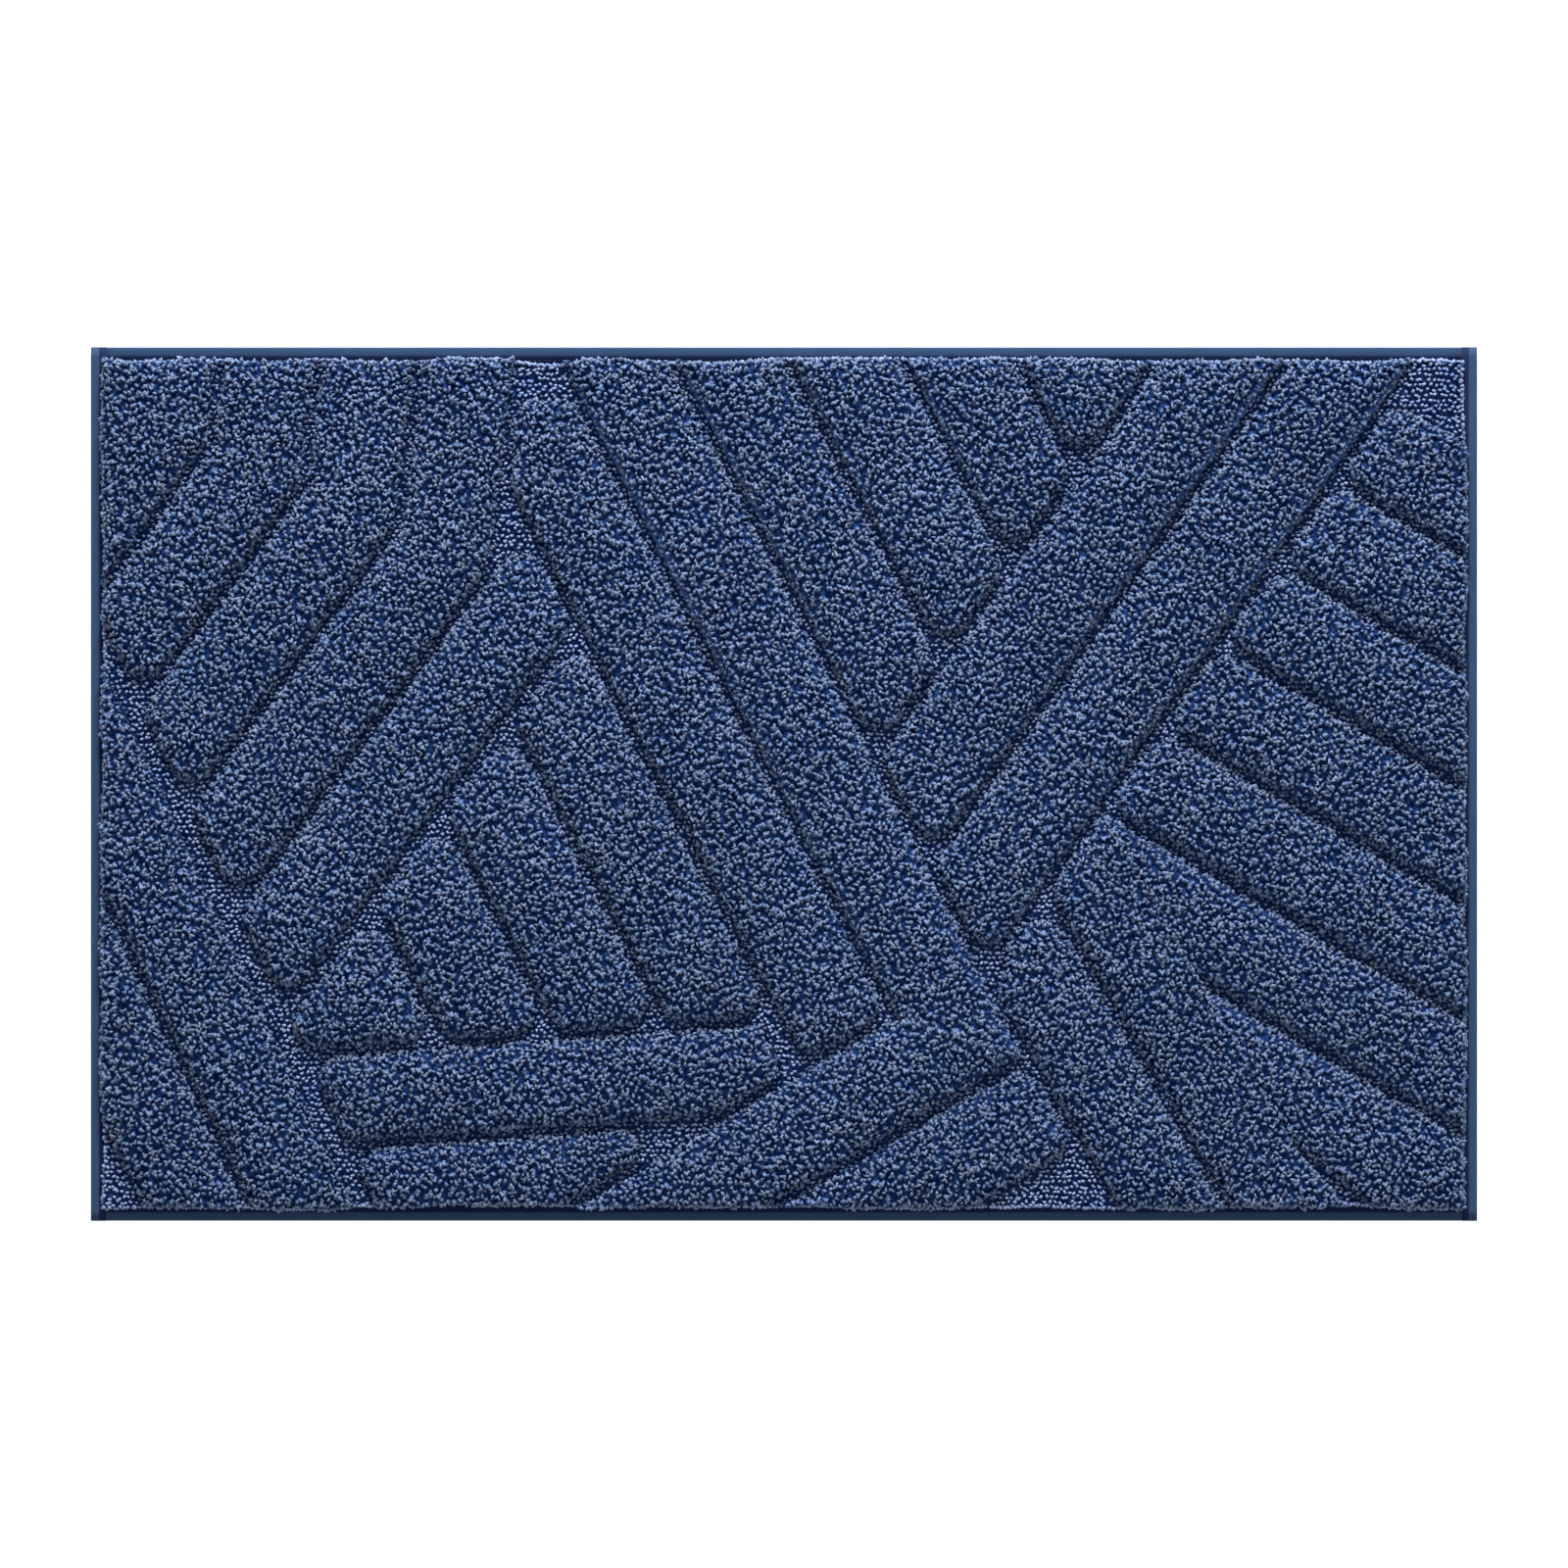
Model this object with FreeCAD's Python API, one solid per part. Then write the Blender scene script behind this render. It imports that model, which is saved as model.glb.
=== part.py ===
"""Bath mat: tufted loop pile in raised bars on a backed cloth, bound with tape on all four edges.

Millimetres. The origin is the centre of the underside, +X runs along the long side, +Y to the
back edge and +Z up. Every sub-part is one solid in its own file.
"""

import FreeCAD
import Part

import copy
import math
import os

# Overall size of the bound mat.
LENGTH = 800.0
WIDTH = 504.0

# Layers, from the floor up.
GRIP_THICK = 1.4
LATEX_THICK = 0.5
CLOTH_THICK = 0.8
LOW_PILE_HIGH = 3.8
BAR_RISE = 7.6  # how far the raised bars stand above the low pile

# Binding tape, folded over the edge of the layers and sewn through.
TAPE_THICK = 0.6
TAPE_WIDE = 9.0
TAPE_SHOWN = 6.5  # what the pile leaves uncovered on the top side
TAPE_FOLD_R = 1.0
SEAM_IN = 1.1  # from the tape's inner edge to the middle of the seam
THREAD_WIDE = 0.7
THREAD_DEEP = 0.3

# Pattern of raised bars.
GROOVE = 6.0  # low pile left between two bars
CORNER_R = 13.0
CROWN_R = 6.2  # rounding of a bar's top edge

# Blank care label, sewn in under the tape.
LABEL_LONG = 48.0
LABEL_WIDE = 28.0
LABEL_THICK = 0.3
LABEL_FROM_CORNER = 90.0

# Heights that follow from the layers.
LATEX_Z = GRIP_THICK
CLOTH_Z = LATEX_Z + LATEX_THICK
CLOTH_TOP = CLOTH_Z + CLOTH_THICK
TAPE_TOP = CLOTH_TOP + TAPE_THICK
LOW_PILE_TOP = CLOTH_TOP + LOW_PILE_HIGH
BAR_TOP = LOW_PILE_TOP + BAR_RISE

# The pattern is drafted on a sheet of this size and stretched to the pile's field.
DRAFT_LENGTH = 787.0
DRAFT_WIDTH = 491.0
FIELD_LENGTH = LENGTH - 2 * TAPE_SHOWN
FIELD_WIDTH = WIDTH - 2 * TAPE_SHOWN

SIDES = ("front", "back", "left", "right")
LONGEST_TANGENT = 0.46  # of a side, so that two rounded corners never meet
TOUCH = 0.001


class Line:
    """A drafted line: its direction in degrees, and how far it lies to the right of the centre.

    gap is what a bar keeps clear of the line, and crowned says that the bar's top edge is
    rounded there.
    """

    def __init__(self, angle, offset, gap=GROOVE / 2, crowned=True):
        turn = math.radians(angle - 90)
        across = math.cos(turn) * DRAFT_LENGTH / FIELD_LENGTH
        along = math.sin(turn) * DRAFT_WIDTH / FIELD_WIDTH
        size = math.hypot(across, along)
        self.normal = FreeCAD.Vector(across / size, along / size, 0)
        self.offset = offset / size
        self.gap = gap
        self.crowned = crowned

    def put(self, offset):
        """A copy of this line at another offset."""
        other = copy.copy(self)
        other.offset = offset
        return other

    def through(self, point):
        """A parallel line through a point."""
        return self.put(self.normal.dot(point))

    def kept_clear(self, inward):
        """The line that a bar's foot follows, its gap away on the bar's own side."""
        return self.put(self.offset + math.copysign(self.gap, self.normal.dot(inward)))

    def meets(self, other):
        """The point that two lines share."""
        mine, its = self.normal, other.normal
        det = mine.x * its.y - mine.y * its.x
        x = (self.offset * its.y - other.offset * mine.y) / det
        y = (mine.x * other.offset - its.x * self.offset) / det
        return FreeCAD.Vector(x, y, 0)

    def holds(self, point):
        """True if the point lies on the line."""
        return abs(self.normal.dot(point) - self.offset) < TOUCH


class Family:
    """Parallel bars: their direction, their first dividing line and the pitch between lines."""

    def __init__(self, angle, first, pitch):
        self.angle = angle
        self.first = first
        self.pitch = pitch

    def line(self, index, shift=0.0):
        """The dividing line of this index, moved by shift."""
        return Line(self.angle, self.first + index * self.pitch + shift)


# The borders of the pile's field.
LEFT = Line(90, -DRAFT_LENGTH / 2, gap=0)
RIGHT = Line(90, DRAFT_LENGTH / 2, gap=0)
FRONT = Line(180, -DRAFT_WIDTH / 2, gap=0)
BACK = Line(180, DRAFT_WIDTH / 2, gap=0)

# Families of bars, in the draft's millimetres.
RISING = Family(53.2, -381.7, 57.8)  # left-hand bars that rise towards the back
FALLING = Family(117.0, -241.5, 59.0)  # bars of the peak, and the long bars beside it
CROSSING = Family(54.8, 34.9, 61.2)  # two bars between the long bars and the right-hand ones
OUTGOING = Family(149.8, 368.7, -57.7)  # right-hand bars that run out to the right edge
FRONT_FALLING = Family(119.8, 44.4, 55.5)  # two bars that fall to the front edge
LEVEL = Family(4.0, 135.4, 54.6)  # two almost level bars under the peak
RAMP = Family(30.5, 146.9, 60.2)  # two bars that rise from the front edge
CORNER = Family(115.1, -439.8, 57.4)  # two bars in the front left corner

# Lines that bars stop at or turn on.
KNEES = Line(156.0, 44.0)
UPRIGHT = Line(83.0, 0.0)
LANE = Line(115.1, -318.0)
PEAK_SLOPE = RISING.line(4, shift=2.0)
PEAK_SIDE = FALLING.line(3, shift=-7.5)
STUB_SIDE = Line(90, -159.0)
STUB_TOP = Line(180, 223.5)
PILLAR_TOP = Line(180, -76.0)
PILLAR_SHOULDER = Line(78.7, 142.0)
FAN_SIDE = Line(131.0, 86.7, crowned=False)  # bends too little off the seam to be rounded
FAN_FOOT = Line(141.0, 21.5)


def upright(index):
    """The line that a left-hand bar's side follows above its knee."""
    return UPRIGHT.through(RISING.line(index).meets(KNEES))


def seam(line):
    """A line where two bars run into each other: no groove and no rounded edge."""
    shared = copy.copy(line)
    shared.gap = 0
    shared.crowned = False
    return shared


def mitre():
    """The line across the corner where the long bar turns into the front ramp."""
    inner_corner = foot_lines([FALLING.line(4), RAMP.line(0), FRONT, RAMP.line(1), FALLING.line(5), BACK])
    inside = inner_corner[0].meets(inner_corner[1])
    outside = inner_corner[3].meets(inner_corner[4])
    run = outside - inside
    line = copy.copy(UPRIGHT)
    line.normal = FreeCAD.Vector(run.y, -run.x, 0).normalize()
    return seam(line.through(inside))


def fan_seam():
    """The line where two right-hand bars run into the second front bar, from their shared corner."""
    feet = foot_lines([CROSSING.line(2), OUTGOING.line(5), RIGHT, OUTGOING.line(6)])
    return seam(FRONT_FALLING.line(2).through(feet[0].meets(feet[1])))


def foot_lines(lines):
    """The lines of a bar's foot, each kept clear of its drafted line."""
    corners = [lines[i - 1].meets(line) for i, line in enumerate(lines)]
    ends = corners[1:] + corners[:1]
    area = sum(a.x * b.y - b.x * a.y for a, b in zip(corners, ends))
    feet = []
    for line, start, end in zip(lines, corners, ends):
        run = (end - start) * math.copysign(1, area)
        feet.append(line.kept_clear(FreeCAD.Vector(-run.y, run.x, 0)))
    return feet


def rounded_wire(feet):
    """The outline that the foot lines enclose, with arcs where two grooves meet."""
    corners = [feet[i - 1].meets(line) for i, line in enumerate(feet)]
    edges = []
    tangents = []
    for i, corner in enumerate(corners):
        back = corners[i - 1] - corner
        ahead = corners[(i + 1) % len(corners)] - corner
        half = back.getAngle(ahead) / 2
        sharp = feet[i - 1].gap == 0 or feet[i].gap == 0
        reach = min(back.Length, ahead.Length) * LONGEST_TANGENT
        radius = 0 if sharp else min(CORNER_R, reach * math.tan(half))
        tangent = radius / math.tan(half)
        start = corner + back.normalize() * tangent
        end = corner + ahead.normalize() * tangent
        if radius:
            middle = corner + (back + ahead).normalize() * radius * (1 / math.sin(half) - 1)
            edges.append((i, Part.Arc(start, middle, end).toShape()))
        tangents.append((start, end))
    for i, (_, end) in enumerate(tangents):
        start = tangents[(i + 1) % len(tangents)][0]
        edges.append((i + 0.5, Part.LineSegment(end, start).toShape()))
    return Part.Wire([edge for _, edge in sorted(edges, key=lambda pair: pair[0])])


def bar(*lines):
    """A raised bar of pile inside its drafted lines, with its top edge rounded."""
    feet = foot_lines(list(lines))
    outline = rounded_wire(feet)
    outline.translate(FreeCAD.Vector(0, 0, LOW_PILE_TOP))
    block = Part.Face(outline).extrude(FreeCAD.Vector(0, 0, BAR_RISE))
    open_sides = [foot for foot in feet if not foot.crowned]
    crown = [edge for edge in block.Edges if is_crown(edge, open_sides)]
    return block.makeFillet(CROWN_R, crown)


def is_crown(edge, open_sides):
    """True for a bar's top edge that isn't on a seam."""
    middle = edge.CenterOfMass
    on_top = abs(middle.z - BAR_TOP) < TOUCH
    return on_top and not any(side.holds(middle) for side in open_sides)


def raised_bars():
    """Every raised bar by its name."""
    turn = mitre()
    join = fan_seam()
    bars = {
        "left_bar_1": bar(LEFT, RISING.line(0), upright(0), BACK),
        "left_bar_2": bar(
            RISING.line(0), LEFT, LANE, RISING.line(1), upright(1), BACK, upright(0)
        ),
        "left_bar_3": bar(RISING.line(1), LANE, RISING.line(2), upright(2), BACK, upright(1)),
        "left_bar_4": bar(RISING.line(2), LANE, RISING.line(3), upright(3), BACK, upright(2)),
        "left_bar_5": bar(RISING.line(3), LANE, RISING.line(4), FALLING.line(3)),
        "peak_bar_1": bar(PEAK_SLOPE, LANE, LEVEL.line(0), FALLING.line(0)),
        "long_bar_1": bar(STUB_SIDE, FALLING.line(3), RAMP.line(0), FALLING.line(4), STUB_TOP),
        "long_bar_2": bar(FALLING.line(4), turn, FALLING.line(5), BACK),
        "long_bar_6": bar(FALLING.line(8), CROSSING.line(0), BACK),
        "ramp_bar_1": bar(RAMP.line(0), FRONT, RAMP.line(1), turn),
        "ramp_bar_2": bar(RAMP.line(1), FRONT, RAMP.line(2), FRONT_FALLING.line(0)),
        "pillar_bar_1": bar(
            FRONT_FALLING.line(0), PILLAR_SHOULDER, PILLAR_TOP, FRONT_FALLING.line(1), FRONT
        ),
        "pillar_bar_2": bar(FRONT_FALLING.line(1), CROSSING.line(2), join, FAN_SIDE, FRONT),
        "right_bar_6": bar(join, OUTGOING.line(5), RIGHT, OUTGOING.line(6)),
        "right_bar_7": bar(join, OUTGOING.line(6), RIGHT, FRONT, FAN_FOOT),
        "level_bar_1": bar(LEVEL.line(0), LANE, LEVEL.line(1), RAMP.line(0), PEAK_SIDE),
        "level_bar_2": bar(LEVEL.line(1), LANE, FRONT, RAMP.line(0)),
        "corner_bar_1": bar(LEFT, CORNER.line(1), FRONT, CORNER.line(2)),
        "corner_bar_2": bar(LEFT, CORNER.line(0), FRONT, CORNER.line(1)),
    }
    for i in range(3):
        bars[f"peak_bar_{i + 2}"] = bar(
            PEAK_SLOPE, FALLING.line(i), LEVEL.line(0), FALLING.line(i + 1)
        )
        bars[f"long_bar_{i + 3}"] = bar(
            FALLING.line(i + 5), CROSSING.line(0), FALLING.line(i + 6), BACK
        )
    for i in range(2):
        bars[f"crossing_bar_{i + 1}"] = bar(
            CROSSING.line(i), FALLING.line(5), CROSSING.line(i + 1), BACK
        )
    for i in range(5):
        bars[f"right_bar_{i + 1}"] = bar(
            CROSSING.line(2), OUTGOING.line(i), RIGHT, OUTGOING.line(i + 1)
        )
    return bars


def plate(inset, low, high):
    """A rectangular layer, inset from the mat's outline, between two heights."""
    corner = FreeCAD.Vector(inset - LENGTH / 2, inset - WIDTH / 2, low)
    return Part.makeBox(LENGTH - 2 * inset, WIDTH - 2 * inset, high - low, corner)


def edge_zone(side):
    """The part of the mat that one edge's tape covers; the side tapes run over the ends."""
    long_cut = LENGTH / 2 - TAPE_WIDE
    wide_cut = WIDTH / 2 - TAPE_WIDE
    low = FreeCAD.Vector(-long_cut, -WIDTH / 2, 0)
    size = (2 * long_cut, TAPE_WIDE)
    if side == "back":
        low = FreeCAD.Vector(-long_cut, wide_cut, 0)
    if side == "left":
        low = FreeCAD.Vector(-LENGTH / 2, -WIDTH / 2, 0)
        size = (TAPE_WIDE, WIDTH)
    if side == "right":
        low = FreeCAD.Vector(long_cut, -WIDTH / 2, 0)
        size = (TAPE_WIDE, WIDTH)
    return Part.makeBox(*size, TAPE_TOP, low)


def thread_lines(side):
    """The needle thread on top and the bobbin thread below, both sunk into one edge's tape."""
    middle = TAPE_WIDE - SEAM_IN
    inner = middle + THREAD_WIDE / 2
    outer = middle - THREAD_WIDE / 2
    rings = [
        plate(outer, low, low + THREAD_DEEP).cut(plate(inner, low, low + THREAD_DEEP))
        for low in (0, TAPE_TOP - THREAD_DEEP)
    ]
    return Part.makeCompound([ring.common(edge_zone(side)) for ring in rings])


def bindings():
    """Each edge's tape, folded round the layers and grooved by its seam."""
    whole = plate(0, 0, TAPE_TOP)
    folds = [edge for edge in whole.Edges if is_fold(edge)]
    whole = whole.makeFillet(TAPE_FOLD_R, folds)
    shell = whole.cut(plate(TAPE_THICK, TAPE_THICK, CLOTH_TOP)).cut(plate(TAPE_WIDE, 0, TAPE_TOP))
    return {side: shell.common(edge_zone(side)).cut(thread_lines(side)) for side in SIDES}


def is_fold(edge):
    """True for the level edges along the mat's outline."""
    low, high = edge.Vertexes[0].Point, edge.Vertexes[-1].Point
    return abs(low.z - high.z) < TOUCH


def layered(low, high, rim_low):
    """A layer that fills the mat inside the tapes, and reaches under them from rim_low up."""
    middle = plate(TAPE_WIDE, low, high)
    rim = plate(TAPE_THICK, rim_low, high)
    return middle.fuse(rim).removeSplitter()


def low_pile():
    """The low loops between the bars, rooted inside the tapes and spilling a little over them."""
    rooted = plate(TAPE_WIDE, CLOTH_TOP, LOW_PILE_TOP)
    spilling = plate(TAPE_SHOWN, TAPE_TOP, LOW_PILE_TOP)
    return rooted.fuse(spilling).removeSplitter()


def care_label():
    """A blank label sewn in under the front tape, lying against the grip backing."""
    low = FreeCAD.Vector(LENGTH / 2 - LABEL_FROM_CORNER - LABEL_LONG, TAPE_WIDE - WIDTH / 2, 0)
    return Part.makeBox(LABEL_LONG, LABEL_WIDE, LABEL_THICK, low)


def build():
    """Every sub-part of the mat by its name."""
    label = care_label()
    parts = {
        "grip_backing": layered(0, LATEX_Z, TAPE_THICK).cut(label),
        "latex_coat": plate(TAPE_THICK, LATEX_Z, CLOTH_Z),
        "base_cloth": plate(TAPE_THICK, CLOTH_Z, CLOTH_TOP),
        "low_pile": low_pile(),
        "care_label": label,
    }
    for side, tape in bindings().items():
        parts[f"binding_{side}"] = tape
        parts[f"stitching_{side}"] = thread_lines(side)
    parts.update(raised_bars())
    return parts


def main():
    os.makedirs("parts", exist_ok=True)
    for name, shape in build().items():
        shape.exportStep(f"parts/{name}.step")


main()
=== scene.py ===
"""Bath mat: curly loop pile in raised bars, low loops between them, bound edges and a studded underside.

Metres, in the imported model's own frame: +X along the long side, +Y to the back edge, +Z up.
"""

from __future__ import annotations

import logging
import math
import random
from dataclasses import dataclass
from enum import Enum
from functools import cached_property
from typing import Callable

import bmesh
import bpy
from mathutils import Euler, Matrix, Vector, noise
from mathutils.bvhtree import BVHTree

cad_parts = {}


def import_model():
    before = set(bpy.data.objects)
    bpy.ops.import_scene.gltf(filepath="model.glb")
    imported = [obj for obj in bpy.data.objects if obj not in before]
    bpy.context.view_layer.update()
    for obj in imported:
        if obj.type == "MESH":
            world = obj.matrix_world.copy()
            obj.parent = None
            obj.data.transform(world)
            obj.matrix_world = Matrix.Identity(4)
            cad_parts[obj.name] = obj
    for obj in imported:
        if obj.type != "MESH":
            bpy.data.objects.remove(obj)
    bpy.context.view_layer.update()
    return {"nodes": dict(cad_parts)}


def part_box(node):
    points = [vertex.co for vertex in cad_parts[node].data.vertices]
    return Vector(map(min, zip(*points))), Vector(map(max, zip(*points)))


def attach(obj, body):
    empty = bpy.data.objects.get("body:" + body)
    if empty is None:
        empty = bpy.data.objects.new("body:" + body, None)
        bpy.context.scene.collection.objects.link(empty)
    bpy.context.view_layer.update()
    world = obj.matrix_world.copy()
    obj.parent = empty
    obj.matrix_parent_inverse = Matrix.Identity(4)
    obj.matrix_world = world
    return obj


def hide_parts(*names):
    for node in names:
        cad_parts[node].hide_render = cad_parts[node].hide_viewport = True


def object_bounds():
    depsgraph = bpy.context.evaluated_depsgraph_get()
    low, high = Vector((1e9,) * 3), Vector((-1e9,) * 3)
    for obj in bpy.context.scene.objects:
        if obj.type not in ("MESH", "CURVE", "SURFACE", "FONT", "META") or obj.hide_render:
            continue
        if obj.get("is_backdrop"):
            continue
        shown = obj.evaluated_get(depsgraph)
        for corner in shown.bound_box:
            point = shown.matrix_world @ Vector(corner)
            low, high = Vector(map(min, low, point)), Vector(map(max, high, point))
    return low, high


MM = 0.001
DOUBLES = 0.01 * MM  # points of the CAD mesh that are this close are one point
SEAM_GAP = 0.2 * MM  # bars that are this close are sewn as one
FOOT_LIFT = 0.5 * MM  # how far above a bar's foot its flanks are looked for
SEED = 24
BODY = "root"
LOG = logging.getLogger("bath_mat")


class Side(Enum):
    """An edge of the mat: the turn that brings the front edge there."""

    FRONT = 0
    RIGHT = 90
    BACK = 180
    LEFT = 270

    @property
    def long(self) -> bool:
        """True for the two edges along X."""
        return self in (Side.FRONT, Side.BACK)


def linear(hex_colour: str) -> tuple[float, float, float, float]:
    """Turns an sRGB hex colour into linear light.

    Args:
        hex_colour: Six hex digits, such as "1b2d4c".

    Returns:
        Linear red, green and blue, and an alpha of 1.
    """
    parts = [int(hex_colour[i : i + 2], 16) / 255 for i in (0, 2, 4)]
    light = [p / 12.92 if p <= 0.04045 else ((p + 0.055) / 1.055) ** 2.4 for p in parts]
    return (*light, 1.0)


def add_node(tree: bpy.types.NodeTree, kind: str, inputs: dict | None = None, **settings) -> bpy.types.Node:
    """Adds one node with its settings and links.

    Args:
        tree: The node tree to add to.
        kind: The node's type name.
        inputs: Values or output sockets by the input's name or index.
        **settings: Properties of the node itself.

    Returns:
        The new node.
    """
    node = tree.nodes.new(kind)
    for name, value in settings.items():
        setattr(node, name, value)
    for name, value in (inputs or {}).items():
        if isinstance(value, bpy.types.NodeSocket):
            tree.links.new(value, node.inputs[name])
        else:
            node.inputs[name].default_value = value
    return node


def new_material(name: str) -> tuple[bpy.types.Material, bpy.types.NodeTree]:
    """Makes an empty node material.

    Args:
        name: What the real material is called.

    Returns:
        The material and its node tree.
    """
    material = bpy.data.materials.new(name)
    material.use_nodes = True
    material.node_tree.nodes.clear()
    return material, material.node_tree


def object_coords(tree: bpy.types.NodeTree) -> bpy.types.NodeSocket:
    """The object coordinates, in metres."""
    return add_node(tree, "ShaderNodeTexCoord").outputs["Object"]


def noise_of(tree: bpy.types.NodeTree, coords: bpy.types.NodeSocket, grain_mm: float) -> bpy.types.NodeSocket:
    """A smooth noise from 0 to 1.

    Args:
        tree: The node tree.
        coords: Where it is read.
        grain_mm: The size of its grain.

    Returns:
        The noise's socket.
    """
    inputs = {"Vector": coords, "Scale": 1 / (grain_mm * MM)}
    return add_node(tree, "ShaderNodeTexNoise", inputs).outputs["Fac"]


def bump_of(
    tree: bpy.types.NodeTree, height: bpy.types.NodeSocket, strength: float, deep_mm: float
) -> bpy.types.NodeSocket:
    """A normal tilted by a height.

    Args:
        tree: The node tree.
        height: The height's socket, from 0 to 1.
        strength: How much of it counts.
        deep_mm: How deep it goes.

    Returns:
        The normal's socket.
    """
    inputs = {"Height": height, "Strength": strength, "Distance": deep_mm * MM}
    return add_node(tree, "ShaderNodeBump", inputs).outputs[0]


def mix_colours(
    tree: bpy.types.NodeTree, factor, first, second, blend: str = "MIX"
) -> bpy.types.NodeSocket:
    """Mixes two colours.

    Args:
        tree: The node tree.
        factor: A number or a socket from 0 to 1.
        first: The colour or socket at 0.
        second: The colour or socket at 1.
        blend: The blend type.

    Returns:
        The mixed colour's socket.
    """
    inputs = {0: factor, 6: first, 7: second}
    return add_node(tree, "ShaderNodeMix", inputs, data_type="RGBA", blend_type=blend).outputs[2]


def finish_surface(tree: bpy.types.NodeTree, inputs: dict) -> None:
    """Ends a material in one Principled shader.

    Args:
        tree: The node tree.
        inputs: The shader's inputs by name.
    """
    shader = add_node(tree, "ShaderNodeBsdfPrincipled", inputs)
    add_node(tree, "ShaderNodeOutputMaterial", {"Surface": shader.outputs[0]})


@dataclass(frozen=True)
class LoopYarn:
    """Dyed polyester loop yarn, with painted shade towards the loops' roots and a painted highlight on their
    crowns.
    """

    name: str
    root: str
    side: str
    crown: str
    patch_mm: float = 55.0
    dye_mm: float = 16.0
    tint: str = "c0e2ff"
    painted_groove_shade: str = "1a3868"
    ply_mm: float = 0.9
    ply_deep_mm: float = 0.3
    roughness: float = 0.6
    shine: float = 0.45

    def build(self) -> bpy.types.Material:
        """Makes the material; the loops carry "rise" along the yarn, and for each loop a random tone lowered
        by any painted shade.
        """
        material, tree = new_material(self.name)
        coords = object_coords(tree)
        rise = add_node(tree, "ShaderNodeAttribute", attribute_name="rise").outputs["Fac"]
        tone = add_node(tree, "ShaderNodeAttribute", attribute_name="tone").outputs["Fac"]
        # Painted shade and highlight: the colour runs along the yarn's rise from a dark root through the side
        # to a pale crown.
        ramp = add_node(tree, "ShaderNodeValToRGB", {"Fac": rise})
        stops = ramp.color_ramp.elements
        stops[0].color, stops[1].color = linear(self.root), linear(self.crown)
        stops[0].position, stops[1].position = 0.15, 0.9
        stops.new(0.5).color = linear(self.side)
        # Dye lots and the lie of the pile make soft patches a hand's breadth across.
        patches = noise_of(tree, coords, self.patch_mm)
        patch = add_node(tree, "ShaderNodeMapRange", {"Value": patches, "To Min": 0.8, "To Max": 1.2})
        # Each loop's random tone sets its brightness; a tone lowered by painted shade darkens it further.
        per_loop = add_node(
            tree, "ShaderNodeMapRange", {"Value": tone, "To Min": 0.86, "To Max": 1.14}, clamp=False
        )
        strength = add_node(
            tree, "ShaderNodeMath", {0: patch.outputs[0], 1: per_loop.outputs[0]}, operation="MULTIPLY"
        )
        grey = add_node(tree, "ShaderNodeCombineColor", {i: strength.outputs[0] for i in range(3)})
        colour = mix_colours(tree, 1.0, ramp.outputs["Color"], grey.outputs[0], "MULTIPLY")
        # Painted shade: loops down in the grooves, which see only other blue yarn, are mixed towards a dark
        # navy like the roots.
        sunk = add_node(
            tree, "ShaderNodeMapRange", {"Value": tone, "From Min": 0.1, "From Max": -0.9, "To Max": 0.85}
        )
        colour = mix_colours(tree, sunk.outputs[0], colour, linear(self.painted_groove_shade))
        # Some patches took the blue of the dye more than others.
        dye = noise_of(tree, coords, self.dye_mm)
        bluer = add_node(
            tree, "ShaderNodeMapRange", {"Value": dye, "From Min": 0.5, "From Max": 0.72, "To Max": 0.6}
        )
        tint = mix_colours(tree, bluer.outputs[0], linear("ffffff"), linear(self.tint))
        colour = mix_colours(tree, 1.0, colour, tint, "MULTIPLY")
        plies = noise_of(tree, coords, self.ply_mm)
        # Only the crowns are worn smooth enough to shine.
        shine = add_node(
            tree,
            "ShaderNodeMapRange",
            {"Value": rise, "From Min": 0.6, "From Max": 0.95, "To Max": self.shine},
        )
        finish_surface(
            tree,
            {
                "Base Color": colour,
                "Roughness": self.roughness,
                "Normal": bump_of(tree, plies, 0.5, self.ply_deep_mm),
                "Specular IOR Level": shine.outputs[0],
            },
        )
        return material


@dataclass(frozen=True)
class PileHeart:
    """The mass of yarn under the loops' crowns, coloured dark navy as painted shade."""

    name: str = "loop_yarn_in_shade"
    colour: str = "0e2a60"
    blot: str = "3a568e"
    tuft_mm: float = 2.0
    tuft_deep_mm: float = 0.8

    def build(self) -> bpy.types.Material:
        """Makes the material."""
        material, tree = new_material(self.name)
        tufts = add_node(
            tree,
            "ShaderNodeTexVoronoi",
            {"Vector": object_coords(tree), "Scale": 1 / (self.tuft_mm * MM)},
        )
        # Deeper yarn still shows as pale blots in the gaps.
        blots = add_node(tree, "ShaderNodeMapRange", {"Value": tufts.outputs["Distance"], "From Max": 0.75})
        colour = mix_colours(tree, blots.outputs[0], linear(self.blot), linear(self.colour))
        finish_surface(
            tree,
            {
                "Base Color": colour,
                "Roughness": 1.0,
                "Normal": bump_of(tree, tufts.outputs["Distance"], 1.0, self.tuft_deep_mm),
                "Specular IOR Level": 0.0,
            },
        )
        return material


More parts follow.
